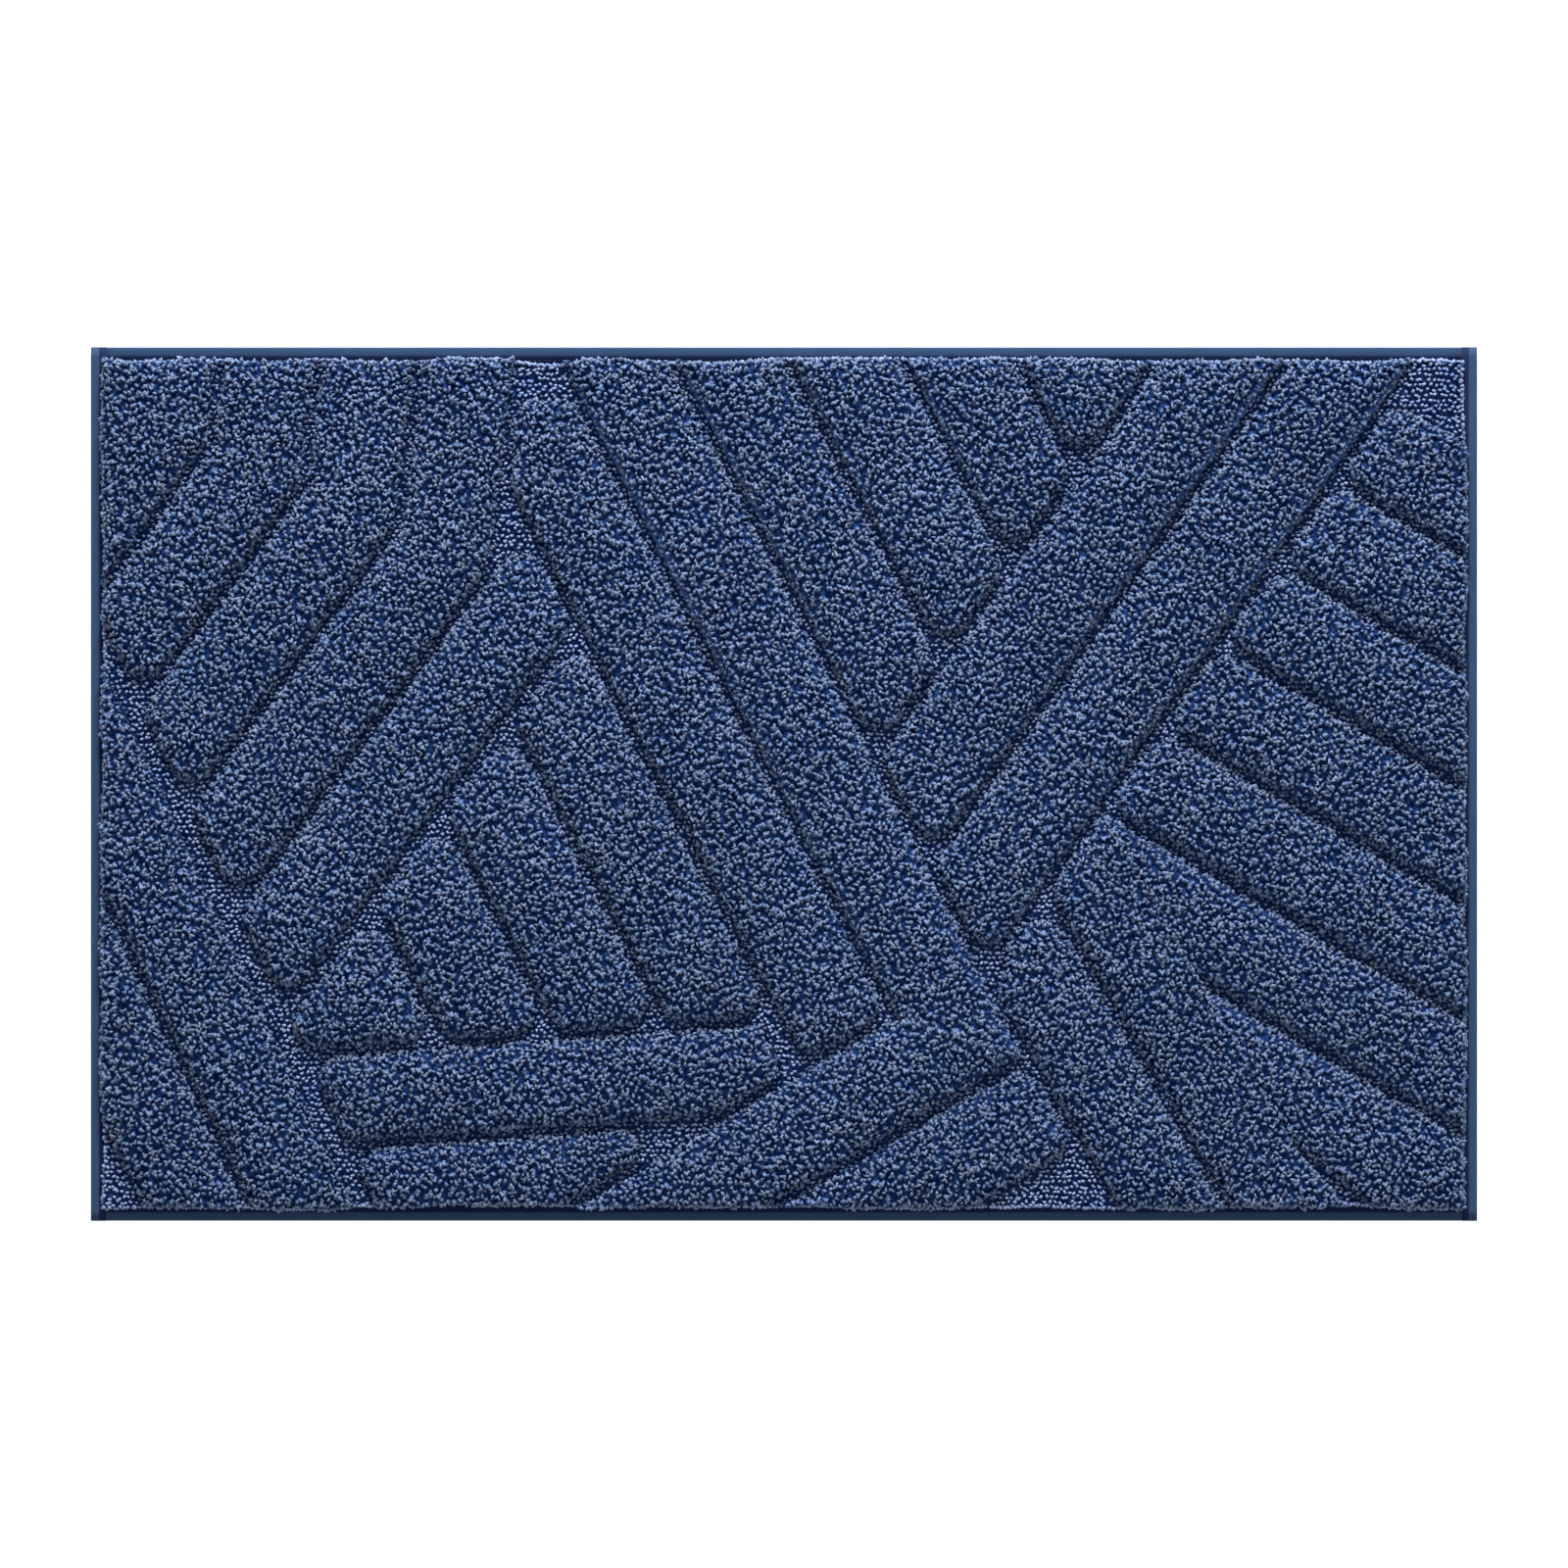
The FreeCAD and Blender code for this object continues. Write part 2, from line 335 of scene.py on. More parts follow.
@dataclass(frozen=True)
class WovenCloth:
    """A plain-woven fabric: threads over and under each other, square to the mat."""

    name: str
    colour: str
    shade: str
    thread_mm: float
    crease: str = "0b2350"
    roughness: float = 0.8
    depth_mm: float = 0.12
    fade_mm: float = 18.0

    def build(self) -> bpy.types.Material:
        """Makes the material, from two crossed waves of the thread's spacing."""
        material, tree = new_material(self.name)
        coords = object_coords(tree)
        scale = math.tau / (self.thread_mm * MM) / 20  # a wave texture repeats 20 / tau times per unit
        waves = [
            add_node(tree, "ShaderNodeTexWave", {"Vector": coords, "Scale": scale}, bands_direction=axis)
            for axis in ("X", "Y")
        ]
        weave = add_node(
            tree,
            "ShaderNodeMath",
            {0: waves[0].outputs["Fac"], 1: waves[1].outputs["Fac"]},
            operation="MULTIPLY",
        )
        fade = noise_of(tree, coords, self.fade_mm)
        worn = mix_colours(tree, fade, linear(self.shade), linear(self.colour))
        colour = mix_colours(tree, weave.outputs[0], linear(self.shade), worn)
        # Painted shade: the tape is darkened where the seam draws it down against the pile.
        crease = add_node(tree, "ShaderNodeAttribute", attribute_name="crease").outputs["Fac"]
        colour = mix_colours(tree, crease, colour, linear(self.crease))
        finish_surface(
            tree,
            {
                "Base Color": colour,
                "Roughness": self.roughness,
                "Normal": bump_of(tree, weave.outputs[0], 0.6, self.depth_mm),
                "Sheen Weight": 0.2,
                "Specular IOR Level": 0.25,
            },
        )
        return material


@dataclass(frozen=True)
class MouldedRubber:
    """Soft moulded thermoplastic rubber, matt with a fine grain."""

    name: str
    colour: str
    grain_mm: float = 0.8
    grain_deep_mm: float = 0.1
    cloud_mm: float = 40.0
    cloud_shade: float = 0.75
    roughness: float = 0.62

    def build(self) -> bpy.types.Material:
        """Makes the material."""
        material, tree = new_material(self.name)
        coords = object_coords(tree)
        grain = noise_of(tree, coords, self.grain_mm)
        cloud = noise_of(tree, coords, self.cloud_mm)
        dark = [channel * self.cloud_shade for channel in linear(self.colour)[:3]] + [1.0]
        colour = mix_colours(tree, cloud, dark, linear(self.colour))
        normal = bump_of(tree, grain, 0.3, self.grain_deep_mm)
        finish_surface(tree, {"Base Color": colour, "Roughness": self.roughness, "Normal": normal})
        return material


@dataclass(frozen=True)
class YarnLoop:
    """One loop of pile yarn: an arch of thick yarn that leans and twists."""

    span: float
    height: float
    thick: float
    lean: float
    curl: float
    sides: int = 4
    steps: int = 4

    def build(self, name: str) -> bpy.types.Object:
        """Spins a ring of yarn into an arch and curls it.

        Args:
            name: The template's name.

        Returns:
            The template object, standing on the origin with its roots at z = 0.
        """
        bm = bmesh.new()
        # Half a side's turn lays a flat side, not a ridge, along the crown.
        turn = Matrix.Rotation(math.pi / self.sides, 4, "Z")
        place = Matrix.Translation((-self.span / 2, 0, 0)) @ turn
        ring = bmesh.ops.create_circle(bm, segments=self.sides, radius=self.thick / 2, matrix=place)["verts"]
        edges = list(dict.fromkeys(edge for vert in ring for edge in vert.link_edges))
        bmesh.ops.spin(
            bm, geom=ring + edges, cent=(0, 0, 0), axis=(0, 1, 0), angle=math.pi, steps=self.steps
        )
        bmesh.ops.holes_fill(bm, edges=bm.edges)
        bmesh.ops.recalc_face_normals(bm, faces=bm.faces)
        rise = bm.verts.layers.float.new("rise")
        top = max(vert.co.z for vert in bm.verts)
        for vert in bm.verts:
            share = max(vert.co.z / top, 0.0)
            vert[rise] = share
            vert.co.z *= self.height / top
            vert.co.y += self.lean * share * share
            vert.co.rotate(Euler((0, 0, self.curl * share * vert.co.x / self.span)))
        shade_smooth(bm)
        return object_of(bm, name)


def shade_smooth(bm: bmesh.types.BMesh) -> None:
    """Shades every face smooth."""
    for face in bm.faces:
        face.smooth = True


def object_of(bm: bmesh.types.BMesh, name: str) -> bpy.types.Object:
    """Turns a bmesh into a linked object at the origin.

    Args:
        bm: The bmesh, which is freed.
        name: The object's name.

    Returns:
        The object.
    """
    mesh = bpy.data.meshes.new(name)
    bm.to_mesh(mesh)
    bm.free()
    made = bpy.data.objects.new(name, mesh)
    bpy.context.scene.collection.objects.link(made)
    return made


def sweep(
    bm: bmesh.types.BMesh, chain: list[bmesh.types.BMVert], steps: int, run: float
) -> list[bmesh.types.BMVert]:
    """Draws a chain of points out along X into a sheet.

    Args:
        bm: The bmesh that holds the points.
        chain: The points, in order.
        steps: How many rows of faces to make.
        run: How far to draw them out.

    Returns:
        The points at the far end.
    """
    edges = [bm.edges.new(pair) for pair in zip(chain, chain[1:])]
    for _ in range(steps):
        made = bmesh.ops.extrude_edge_only(bm, edges=edges)["geom"]
        edges = [e for e in made if isinstance(e, bmesh.types.BMEdge)]
        verts = [v for v in made if isinstance(v, bmesh.types.BMVert)]
        bmesh.ops.translate(bm, verts=verts, vec=(run / steps, 0, 0))
    return verts


def dress(piece: bpy.types.Object, material: bpy.types.Material) -> None:
    """Gives a piece its finish and makes it part of the mat.

    Args:
        piece: The finished piece.
        material: Its material.
    """
    piece.data.materials.clear()
    piece.data.materials.append(material)
    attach(piece, BODY)


@dataclass
class Seed:
    """Where one loop grows: its root, its turn and its size."""

    place: Vector
    turn: Euler
    size: float
    # A random tone, lowered by painted shade for loops at bar feet and in grooves.
    tone: float
    kind: int


class Sower:
    """Sets copies of template loops on seeds, and gives back one mesh."""

    def __init__(self, name: str, templates: list[bpy.types.Object]) -> None:
        """Gathers the templates.

        Args:
            name: The name of this kind of pile.
            templates: The loops to pick from.
        """
        self.kinds = len(templates)
        self.bed = bpy.data.collections.new(name)
        for template in templates:
            bpy.context.scene.collection.objects.unlink(template)
            self.bed.objects.link(template)
        self.tree = self._tree(name)

    def _tree(self, name: str) -> bpy.types.NodeTree:
        """The geometry nodes that set the copies and make them real."""
        tree = bpy.data.node_groups.new(name, "GeometryNodeTree")
        tree.interface.new_socket("Geometry", in_out="INPUT", socket_type="NodeSocketGeometry")
        tree.interface.new_socket("Geometry", in_out="OUTPUT", socket_type="NodeSocketGeometry")
        seeds = add_node(tree, "NodeGroupInput").outputs[0]
        loops = add_node(
            tree,
            "GeometryNodeCollectionInfo",
            {"Collection": self.bed, "Separate Children": True, "Reset Children": True},
        )
        kind = add_node(tree, "GeometryNodeInputNamedAttribute", {"Name": "kind"}, data_type="INT")
        turn = add_node(tree, "GeometryNodeInputNamedAttribute", {"Name": "turn"}, data_type="FLOAT_VECTOR")
        size = add_node(tree, "GeometryNodeInputNamedAttribute", {"Name": "size"}, data_type="FLOAT_VECTOR")
        rotation = add_node(tree, "FunctionNodeEulerToRotation", {0: turn.outputs[0]})
        copies = add_node(
            tree,
            "GeometryNodeInstanceOnPoints",
            {
                "Points": seeds,
                "Instance": loops.outputs[0],
                "Pick Instance": True,
                "Instance Index": kind.outputs[0],
                "Rotation": rotation.outputs[0],
                "Scale": size.outputs[0],
            },
        )
        real = add_node(tree, "GeometryNodeRealizeInstances", {0: copies.outputs[0]})
        add_node(tree, "NodeGroupOutput", {0: real.outputs[0]})
        return tree

    def sow(self, name: str, seeds: list[Seed]) -> bpy.types.Mesh:
        """Sets a loop on every seed.

        Args:
            name: The mesh's name.
            seeds: The seeds.

        Returns:
            One mesh of all the loops.
        """
        points = bmesh.new()
        layers = points.verts.layers
        kind, tone = layers.int.new("kind"), layers.float.new("tone")
        turn, size = layers.float_vector.new("turn"), layers.float_vector.new("size")
        for seed in seeds:
            vert = points.verts.new(seed.place)
            vert[kind], vert[tone] = seed.kind, seed.tone
            vert[turn], vert[size] = seed.turn, (seed.size,) * 3
        bed = object_of(points, name)
        bed.modifiers.new("sow", "NODES").node_group = self.tree
        depsgraph = bpy.context.evaluated_depsgraph_get()
        mesh = bpy.data.meshes.new_from_object(bed.evaluated_get(depsgraph), depsgraph=depsgraph)
        bpy.data.objects.remove(bed)
        return mesh


def cad_copy(node: bpy.types.Object) -> bmesh.types.BMesh:
    """A CAD node's mesh as a bmesh with its doubled points merged."""
    bm = bmesh.new()
    bm.from_mesh(node.data)
    bmesh.ops.remove_doubles(bm, verts=bm.verts, dist=DOUBLES)
    return bm


@dataclass
class Pile:
    """What raised bars and low pile share: how loops are spread and set."""

    rng: random.Random
    root_depth: float = 2.3 * MM
    tilt: float = 0.26
    size_spread: float = 0.12
    rim_inset: float = 2.1 * MM
    rim_least: float = 0.9 * MM
    rim_swing: float = 3.2 * MM
    rim_wave: float = 38 * MM
    strip: float = 7 * MM

    @cached_property
    def field(self) -> tuple[Vector, Vector]:
        """The pile's box."""
        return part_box("low_pile")

    def held_in(self, place: Vector) -> Vector:
        """Draws a point in from the field's uneven rim, where the seam holds the pile back."""
        low, high = self.field
        inset = max(self.rim_inset + noise.noise(place / self.rim_wave) * self.rim_swing, self.rim_least)
        x = min(max(place.x, low.x + inset), high.x - inset)
        y = min(max(place.y, low.y + inset), high.y - inset)
        return Vector((x, y, place.z))

    def seed_at(
        self, place: Vector, axis: Vector, kinds: int, turn: float | None = None, shade: float = 0.0
    ) -> Seed:
        """Plants one loop.

        Args:
            place: The point on the pile's surface.
            axis: Which way the loop stands.
            kinds: How many template loops there are.
            turn: The loop's turn about its axis, or None for any.
            shade: How much painted shade darkens the loop, compared with those in the open.

        Returns:
            The seed.
        """
        yaw = self.rng.uniform(0, math.tau) if turn is None else turn
        lean = Euler((self.rng.gauss(0, self.tilt), self.rng.gauss(0, self.tilt), 0))
        standing = axis.to_track_quat("Z", "Y") @ lean.to_quaternion() @ Euler((0, 0, yaw)).to_quaternion()
        return Seed(
            place=self.held_in(place) - axis * self.root_depth,
            turn=standing.to_euler(),
            size=1 + self.rng.uniform(-1, 1) * self.size_spread,
            tone=self.rng.random() - shade,
            kind=self.rng.randrange(kinds),
        )

    def heart(self, node: bpy.types.Object, inset: float, pillow: "Pillow | None" = None) -> bpy.types.Mesh:
        """The mass of yarn inside a CAD solid, drawn in from its surface.

        Args:
            node: The CAD node.
            inset: How far to draw it in.
            pillow: The rounding of its top, or None for a flat top.

        Returns:
            The mesh.
        """
        bm = cad_copy(node)
        if pillow:
            cut_in_strips(bm, self.strip)
        bm.normal_update()
        for vert, normal in [(v, v.normal.copy()) for v in bm.verts]:
            place, _ = pillow.rounded(vert.co, normal) if pillow else (vert.co, normal)
            vert.co = self.held_in(place) - normal * inset
        mesh = bpy.data.meshes.new(node.name + "_heart")
        bm.to_mesh(mesh)
        bm.free()
        return mesh


def cut_in_strips(bm: bmesh.types.BMesh, step: float) -> None:
    """Cuts a mesh by upright planes, both ways, so that its flat top can be rounded.

    Args:
        bm: The mesh.
        step: The distance between planes.
    """
    for axis in (Vector((1, 0, 0)), Vector((0, 1, 0))):
        reach = [vert.co.dot(axis) for vert in bm.verts]
        for i in range(math.ceil(min(reach) / step), math.floor(max(reach) / step) + 1):
            tops = [face for face in bm.faces if face.normal.z > 0.99]
            edges = dict.fromkeys(edge for face in tops for edge in face.edges)
            verts = dict.fromkeys(vert for face in tops for vert in face.verts)
            bmesh.ops.bisect_plane(
                bm, geom=[*verts, *edges, *tops], plane_co=axis * i * step, plane_no=axis
            )


class Pillow:
    """How a bar's top swells from its edges to its middle."""

    swell = 3.3 * MM
    reach = 26 * MM
    touching = 0.1 * MM
    upright = 0.2

    def __init__(self, node: bpy.types.Object, others: list[BVHTree]) -> None:
        """Finds the bar's open flanks.

        Args:
            node: The bar's CAD node.
            others: The ray trees of the other bars, whose seams with this one aren't flanks.
        """
        low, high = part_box(node.name)
        self.foot, self.top = low.z, high.z
        bm = cad_copy(node)
        closed = [f for f in bm.faces if abs(f.normal.z) > self.upright or is_seam(f, others)]
        bmesh.ops.delete(bm, geom=closed, context="FACES")
        self.flanks = BVHTree.FromBMesh(bm)
        bm.free()

    def rounded(self, place: Vector, normal: Vector) -> tuple[Vector, Vector]:
        """Where a point of the CAD surface comes to lie, and which way it then faces.

        Args:
            place: The point.
            normal: The surface's normal there.

        Returns:
            The new point and normal.
        """
        foot = Vector((place.x, place.y, self.foot + FOOT_LIFT))
        nearest, _, _, distance = self.flanks.find_nearest(foot)
        share = min(distance / self.reach, 1.0)
        raised = (place.z - self.foot) / (self.top - self.foot)
        away = (nearest - foot).normalized() if distance > self.touching else Vector()
        slope = 2 * self.swell / self.reach * (1 - share) * raised
        drop = Vector((0, 0, self.swell * (1 - share) ** 2 * raised))
        return place - drop, (normal + away * slope).normalized()


def is_seam(face: bmesh.types.BMFace, others: list[BVHTree]) -> bool:
    """True if a face lies against another bar."""
    middle = face.calc_center_median()
    return any(tree.find_nearest(middle, SEAM_GAP)[0] for tree in others)


@dataclass
class RaisedBars(Pile):
    """The bars of tall, curly loops."""

    spacing: float = 2.5 * MM
    tries: int = 20
    up_pull: float = 0.6
    bare_foot: float = 1.5 * MM
    shade_high: float = 4.0 * MM
    foot_shade: float = 0.9
    heart_inset: float = 1.5 * MM
    least_up: float = -0.1

    def templates(self) -> list[bpy.types.Object]:
        """Curly loops of four shapes."""
        shapes = [
            YarnLoop(3.3 * MM, 3.4 * MM, 1.65 * MM, 1.3 * MM, 1.6),
            YarnLoop(2.8 * MM, 3.8 * MM, 1.7 * MM, 1.8 * MM, -2.0),
            YarnLoop(3.9 * MM, 3.1 * MM, 1.6 * MM, 1.0 * MM, 2.4),
            YarnLoop(2.3 * MM, 3.7 * MM, 1.75 * MM, 1.5 * MM, 1.0),
        ]
        return [shape.build(f"tall_loop_{i}") for i, shape in enumerate(shapes)]

    def spread(self, node: bpy.types.Object, floor: float) -> list[tuple[Vector, Vector]]:
        """Points spread evenly over a bar's open surface, no two closer than the spacing.

        Args:
            node: The bar's CAD node.
            floor: The height of the low pile's top.

        Returns:
            Each point with its surface normal.
        """
        bm = cad_copy(node)
        faces = bmesh.ops.triangulate(bm, faces=bm.faces)["faces"]
        open_faces = [f for f in faces if f.normal.z > self.least_up]
        darts = []
        for face in open_faces:
            a, b, c = (v.co for v in face.verts)
            wanted = face.calc_area() / self.spacing**2 * self.tries
            count = int(wanted) + (self.rng.random() < wanted % 1)
            for _ in range(count):
                u, v = self.rng.random(), self.rng.random()
                if u + v > 1:
                    u, v = 1 - u, 1 - v
                darts.append((a + (b - a) * u + (c - a) * v, face.normal.copy()))
        bm.free()
        self.rng.shuffle(darts)
        return thin_out([d for d in darts if d[0].z > floor + self.bare_foot], self.spacing)

    def build(self, nodes: dict, yarn: bpy.types.Material, heart: bpy.types.Material) -> int:
        """Builds every bar.

        Args:
            nodes: The frame's nodes by name.
            yarn: The loops' material.
            heart: The material of the mass under them.

        Returns:
            How many loops were set.
        """
        templates = self.templates()
        sower = Sower("tall_loops", templates)
        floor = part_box("low_pile")[1].z
        total = 0
        names = sorted(n for n in nodes if "_bar_" in n)
        trees = {name: bar_tree(nodes[name])[1] for name in names}
        for name in names:
            pillow = Pillow(nodes[name], [tree for other, tree in trees.items() if other != name])
            seeds = []
            for place, normal in self.spread(nodes[name], floor):
                place, normal = pillow.rounded(place, normal)
                axis = (normal + Vector((0, 0, self.up_pull))).normalized()
                # Painted shade: loops near a bar's foot, close to the low pile, are darkened.
                sunk = max(1 - (place.z - floor) / self.shade_high, 0)
                seeds.append(self.seed_at(place, axis, len(templates), shade=sunk * self.foot_shade))
            loops = sower.sow(name, seeds)
            mass = self.heart(nodes[name], self.heart_inset, pillow)
            piece = pile_piece(f"{name}_pile", loops, mass, yarn, heart)
            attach(piece, BODY)
            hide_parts(name)
            total += len(seeds)
            LOG.info("%s: %d loops", piece.name, len(seeds))
        return total


@dataclass
class LowPile(Pile):
    """The low loops in the grooves and open patches, in slightly wavy rows."""

    pitch: float = 3.0 * MM
    jitter: float = 0.5 * MM
    wave: float = 0.9 * MM
    wave_length: float = 28 * MM
    bands: int = 4
    heart_inset: float = 1.6 * MM
    groove_reach: float = 3.3 * MM
    groove_shade: float = 0.8
    turn_spread: float = 0.5
    edge_spacing: float = 2.6 * MM
    edge_rows: tuple[float, float] = (0.8 * MM, 2.4 * MM)
    edge_lift: float = 0.7
    sky: float = 40 * MM

    def templates(self) -> list[bpy.types.Object]:
        """Small round loops of three shapes."""
        shapes = [
            YarnLoop(1.7 * MM, 3.1 * MM, 1.75 * MM, 0.3 * MM, 0.5),
            YarnLoop(2.0 * MM, 2.9 * MM, 1.7 * MM, 0.5 * MM, -0.7),
            YarnLoop(1.4 * MM, 3.2 * MM, 1.8 * MM, 0.2 * MM, 0.2),
        ]
        return [shape.build(f"low_loop_{i}") for i, shape in enumerate(shapes)]

    def rows(self, low: Vector, high: Vector, covered: Callable[[Vector], bool]) -> list[Vector]:
        """The roots of the rows of loops that no bar covers.

        Args:
            low: The pile's lowest corner.
            high: Its highest corner.
            covered: Says whether a bar stands over a point.

        Returns:
            The points at the pile's top.
        """
        places = []
        inset = self.pitch / 2
        for row in range(int((high.y - low.y - inset) / self.pitch) + 1):
            for step in range(int((high.x - low.x - inset) / self.pitch) + 1):
                x = low.x + inset + (step + row % 2 / 2) * self.pitch
                at = Vector((x, low.y + inset + row * self.pitch, 0))
                at += noise.noise_vector(at / self.wave_length) * self.wave
                at += Vector((self.rng.gauss(0, 1), self.rng.gauss(0, 1), 0)) * self.jitter
                at.z = high.z
                if at.x < high.x and not covered(at):
                    places.append(at)
        return places

    def build(self, nodes: dict, yarn: bpy.types.Material, heart: bpy.types.Material) -> int:
        """Builds the low pile in bands across the mat.

        Args:
            nodes: The frame's nodes by name.
            yarn: The loops' material.
            heart: The material of the mass under them.

        Returns:
            How many loops were set.
        """
        low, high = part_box("low_pile")
        bars = [bar_tree(node) for name, node in nodes.items() if "_bar_" in name]
        up = Vector((0, 0, 1))

        def covered(at: Vector) -> bool:
            """True where a bar stands over the point."""
            start = at + up * self.sky
            return any(box_holds(box, at) and tree.ray_cast(start, -up)[0] for box, tree in bars)

        templates = self.templates()
        sower = Sower("low_loops", templates)
        seeds = []
        for at in self.rows(low, high, covered):
            foot = at + up * FOOT_LIFT
            # Painted shade: low loops beside a bar are darkened.
            hemmed_in = any(tree.find_nearest(foot, self.groove_reach)[0] for _, tree in bars)
            shade = self.groove_shade if hemmed_in else 0.0
            seeds.append(self.seed_at(at, up, len(templates), self.rng.gauss(0, self.turn_spread), shade))
        seeds += self.edge_seeds(low, high, len(templates))
        wide = (high.x - low.x) / self.bands
        mass = self.heart(nodes["low_pile"], self.heart_inset)
        for band in range(self.bands):
            start = low.x + band * wide
            last = band == self.bands - 1
            here = [
                seed
                for seed in seeds
                if (band == 0 or seed.place.x >= start) and (last or seed.place.x < start + wide)
            ]
            loops = sower.sow(f"low_pile_{band + 1}", here)
            piece = pile_piece(f"low_loops_{band + 1}", loops, mass if band == 0 else None, yarn, heart)
            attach(piece, BODY)
            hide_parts("low_pile")
            LOG.info("%s: %d loops", piece.name, len(here))
        return len(seeds)

    def edge_seeds(self, low: Vector, high: Vector, kinds: int) -> list[Seed]:
        """Loops that lean out over the tape all round the pile.

        Args:
            low: The pile's lowest corner.
            high: Its highest corner.
            kinds: How many template loops there are.

        Returns:
            The seeds.
        """
        seeds = []
        around = [
            (Vector((low.x, low.y, 0)), Vector((1, 0, 0)), high.x - low.x, Vector((0, -1, 0))),
            (Vector((high.x, low.y, 0)), Vector((0, 1, 0)), high.y - low.y, Vector((1, 0, 0))),
            (Vector((high.x, high.y, 0)), Vector((-1, 0, 0)), high.x - low.x, Vector((0, 1, 0))),
            (Vector((low.x, high.y, 0)), Vector((0, -1, 0)), high.y - low.y, Vector((-1, 0, 0))),
        ]
        for corner, along, length, away in around:
            for drop in self.edge_rows:
                for step in range(int(length / self.edge_spacing)):
                    at = corner + along * (step + self.rng.random()) * self.edge_spacing
                    at.z = high.z - drop
                    axis = (away + Vector((0, 0, self.edge_lift))).normalized()
                    seeds.append(self.seed_at(at, axis, kinds))
        return seeds


def bar_tree(node: bpy.types.Object) -> tuple[tuple[Vector, Vector], BVHTree]:
    """A bar's box and its ray tree."""
    bm = cad_copy(node)
    tree = BVHTree.FromBMesh(bm)
    bm.free()
    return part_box(node.name), tree


def box_holds(box: tuple[Vector, Vector], at: Vector) -> bool:
    """True if a point lies inside a box as seen from above."""
    low, high = box
    return low.x <= at.x <= high.x and low.y <= at.y <= high.y


def thin_out(darts: list[tuple[Vector, Vector]], spacing: float) -> list[tuple[Vector, Vector]]:
    """Keeps darts in order, dropping each that falls closer than the spacing to one kept.

    Args:
        darts: Points with their normals.
        spacing: The least distance.

    Returns:
        The darts kept.
    """
    cells: dict[tuple[int, int, int], list[Vector]] = {}
    kept = []
    near = [(i, j, k) for i in (-1, 0, 1) for j in (-1, 0, 1) for k in (-1, 0, 1)]
    for place, normal in darts:
        x, y, z = (int(c // spacing) for c in place)
        close = (p for i, j, k in near for p in cells.get((x + i, y + j, z + k), ()))
        if all((p - place).length_squared > spacing**2 for p in close):
            cells.setdefault((x, y, z), []).append(place)
            kept.append((place, normal))
    return kept


def pile_piece(
    name: str,
    loops: bpy.types.Mesh,
    mass: bpy.types.Mesh | None,
    yarn: bpy.types.Material,
    heart: bpy.types.Material,
) -> bpy.types.Object:
    """Joins loops and the mass under them into one piece.

    Args:
        name: The piece's name.
        loops: The loops.
        mass: The mass under them, or None.
        yarn: The loops' material.
        heart: The mass's material.

    Returns:
        The piece.
    """
    bm = bmesh.new()
    bm.from_mesh(loops)
    for face in bm.faces:
        face.material_index = 0
    if mass is not None:
        count = len(bm.faces)
        bm.from_mesh(mass)
        bm.faces.ensure_lookup_table()
        for face in bm.faces[count:]:
            face.material_index = 1
    piece = object_of(bm, name)
    piece.data.materials.append(yarn)
    piece.data.materials.append(heart)
    return piece


@dataclass
class EdgeTape:
    """The tape folded round one edge, a little uneven where the seam draws it in."""

    side: Side
    thick: float = 0.55 * MM
    step: float = 6 * MM
    fold_steps: int = 4
    fold_radius: float = 1.0 * MM
    crease_in: float = 5.3 * MM
    crease_soft: float = 0.8 * MM
    crease_deep: float = 0.2 * MM
    ripple: float = 0.2 * MM
    ripple_length: float = 19 * MM

    @property
    def node(self) -> str:
        """The CAD node that this tape stands for."""
        return f"binding_{self.side.name.lower()}"

    def section(self, wide: float, top: float) -> list[tuple[float, float]]:
        """The tape's outer face from the lower hem round the fold to the upper hem.

        Args:
            wide: How far the tape reaches in.
            top: The height of its upper face.

        Returns:
            Points as distance in from the edge, and height.
        """
        r = self.fold_radius
        points = [(wide, 0.0), (self.crease_in, 0.0)]
        for centre_z, start in ((r, 270), (top - r, 180)):
            for i in range(self.fold_steps + 1):
                angle = math.radians(start - 90 * i / self.fold_steps)
                points.append((r + math.cos(angle) * r, centre_z + math.sin(angle) * r))
        valley = top - self.crease_deep
        return points + [(self.crease_in - self.crease_soft, top), (self.crease_in, valley), (wide, valley)]

    def build(self, tape: bpy.types.Material) -> bpy.types.Object:
        """Sweeps the section along the edge, closes the side tapes' ends and gives it its cloth.

        Args:
            tape: The tape's material.

        Returns:
            The piece.
        """
        low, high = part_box(self.node)
        run = high.x - low.x if self.side.long else high.y - low.y
        wide = high.y - low.y if self.side.long else high.x - low.x
        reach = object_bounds()[1].y if self.side.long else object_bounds()[1].x
        bm = bmesh.new()
        crease = bm.verts.layers.float.new("crease")
        chain = [bm.verts.new((-run / 2, -reach + d, z)) for d, z in self.section(wide, high.z)]
        # These points take the tape's painted shade beside the pile.
        for vert in chain[-2:]:
            vert[crease] = 1
        far = sweep(bm, chain, round(run / self.step), run)
        if not self.side.long:
            for end in (chain, far):
                bmesh.ops.contextual_create(bm, geom=end)
        bmesh.ops.rotate(bm, verts=bm.verts, matrix=Matrix.Rotation(math.radians(self.side.value), 3, "Z"))
        for vert in bm.verts:
            if vert.co.z > high.z * 0.5:
                vert.co.z += noise.noise(vert.co / self.ripple_length) * self.ripple - self.ripple / 2
        bmesh.ops.recalc_face_normals(bm, faces=bm.faces)
        shade_smooth(bm)
        piece = object_of(bm, f"tape_{self.side.name.lower()}")
        if not faces_up(piece, high):
            piece.data.flip_normals()
        solid = piece.modifiers.new("cloth", "SOLIDIFY")
        solid.thickness, solid.offset = self.thick, -1
        dress(piece, tape)
        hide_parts(self.node)
        return piece


def faces_up(piece: bpy.types.Object, high: Vector) -> bool:
    """True if the upper faces of a tape point up."""
    tops = [face.normal.z for face in piece.data.polygons if face.center.z > high.z / 2]
    return sum(tops) > 0


